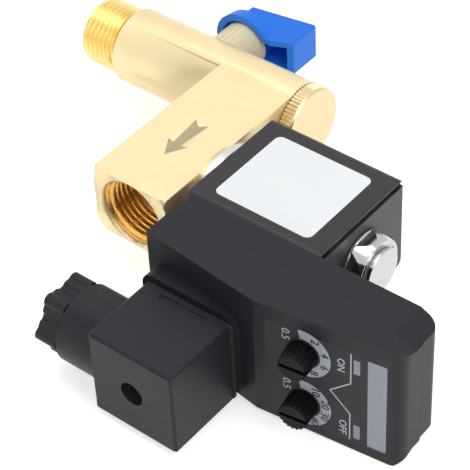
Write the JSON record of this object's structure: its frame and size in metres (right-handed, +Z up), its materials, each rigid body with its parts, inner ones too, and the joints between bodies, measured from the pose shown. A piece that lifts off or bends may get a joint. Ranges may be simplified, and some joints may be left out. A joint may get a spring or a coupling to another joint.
{
  "type": "automatic drain valve",
  "caption": "Automatic condensate drain valve with a brass strainer ball valve, solenoid coil, electronic timer and cable plug.",
  "frame": {"origin": "centre of the inlet thread's end face", "axes": "+X along the inlet bar towards the strainer cap, -Y out of the outlet port, +Z up on the side of the flow arrow and the coil label"},
  "size_m": [0.165, 0.1406, 0.0417],
  "materials": {
    "brass": "bright machined",
    "turned_brass": "turned",
    "ptfe": "smooth",
    "white_plastic": "smooth",
    "stainless": "drawn",
    "zinc_steel": "zinc plated",
    "chrome": "polished",
    "rubber": "matt",
    "blue_plastic": "satin moulded",
    "black_plastic": "fine sparked mould texture",
    "black_steel": "satin black",
    "panel_film": "printed film",
    "label": "printed film, blank",
    "lamp_lens": "clear grey",
    "copper": "enamelled wire",
    "green_board": "solder mask"
  },
  "bodies": {
    "valve_assembly": {"valve_body": "brass", "ball_seat_inlet": "ptfe", "ball_seat_outlet": "ptfe", "seat_retainer": "turned_brass", "strainer_screen": "stainless", "armature_tube": "stainless", "tube_o_ring": "rubber", "fixed_core": "stainless", "plunger_spring": "stainless"},
    "handle_assembly": {"handle": "blue_plastic", "handle_screw": "zinc_steel", "valve_stem": "turned_brass", "stem_o_rings": "rubber", "ball": "chrome"},
    "cap_assembly": {"strainer_cap": "turned_brass", "cap_o_ring": "rubber"},
    "plunger_assembly": {"plunger": "stainless", "plunger_seal": "rubber"},
    "coil_assembly": {"coil_shell": "black_plastic", "coil_yoke": "black_steel", "coil_bobbin": "white_plastic", "coil_winding": "copper", "coil_label": "label", "coil_terminals": "zinc_steel", "coil_gasket": "rubber", "timer_rear_case": "black_plastic", "timer_front_case": "black_plastic", "timer_socket": "black_plastic", "timer_panel": "panel_film", "timer_lamps": "lamp_lens", "timer_potentiometers": "white_plastic", "circuit_board": "green_board", "timer_relay": "white_plastic", "timer_plug_pins": "zinc_steel", "plug_gasket": "rubber", "plug_housing": "black_plastic", "plug_insert": "black_plastic", "plug_contacts": "zinc_steel", "gland_washer": "white_plastic", "gland_seal": "rubber"},
    "nut_assembly": {"coil_nut": "chrome", "coil_washer": "zinc_steel"},
    "knob_off_time": {"knob_off_time": "black_plastic"},
    "knob_on_time": {"knob_on_time": "black_plastic"},
    "gland_nut": {"gland_nut": "black_plastic"},
    "plug_screw": {"plug_screw": "zinc_steel"}
  },
  "joints": [
    {"name": "handle_turn", "type": "hinge", "parent": "valve_assembly", "child": "handle_assembly", "pos_m": [0.0405, 0, 0], "axis": [0, 1, 0], "range_deg": [0, 90]},
    {"name": "strainer_cap_turn", "type": "hinge", "parent": "valve_assembly", "child": "cap_assembly", "pos_m": [0.0764, 0, 0], "axis": [1, 0, 0], "continuous": true},
    {"name": "plunger_slide", "type": "slide", "parent": "valve_assembly", "child": "plunger_assembly", "axis": [1, 0, 0], "range_m": [0, 0.0025], "stiffness_N_per_m": 200, "springref_m": -0.004, "deforming": ["plunger_spring"]},
    {"name": "coil_swivel", "type": "hinge", "parent": "valve_assembly", "child": "coil_assembly", "pos_m": [0.0816, -0.0376, 0], "axis": [1, 0, 0], "range_deg": [-90, 90]},
    {"name": "coil_nut_turn", "type": "hinge", "parent": "valve_assembly", "child": "nut_assembly", "pos_m": [0.1254, -0.0376, 0], "axis": [1, 0, 0], "continuous": true},
    {"name": "off_time_knob_turn", "type": "hinge", "parent": "coil_assembly", "child": "knob_off_time", "pos_m": [0.13761, -0.07938, 0.0069], "axis": [0.1404, -0.9901, 0], "range_deg": [-135, 135]},
    {"name": "on_time_knob_turn", "type": "hinge", "parent": "coil_assembly", "child": "knob_on_time", "pos_m": [0.13761, -0.07938, -0.0112], "axis": [0.1404, -0.9901, 0], "range_deg": [-135, 135]},
    {"name": "gland_nut_turn", "type": "hinge", "parent": "coil_assembly", "child": "gland_nut", "pos_m": [0.0689, -0.0949, -0.0064], "axis": [-1, 0, 0], "continuous": true},
    {"name": "plug_screw_turn", "type": "hinge", "parent": "coil_assembly", "child": "plug_screw", "pos_m": [0.1033, -0.107, -0.0064], "axis": [0, -1, 0], "continuous": true}
  ]
}
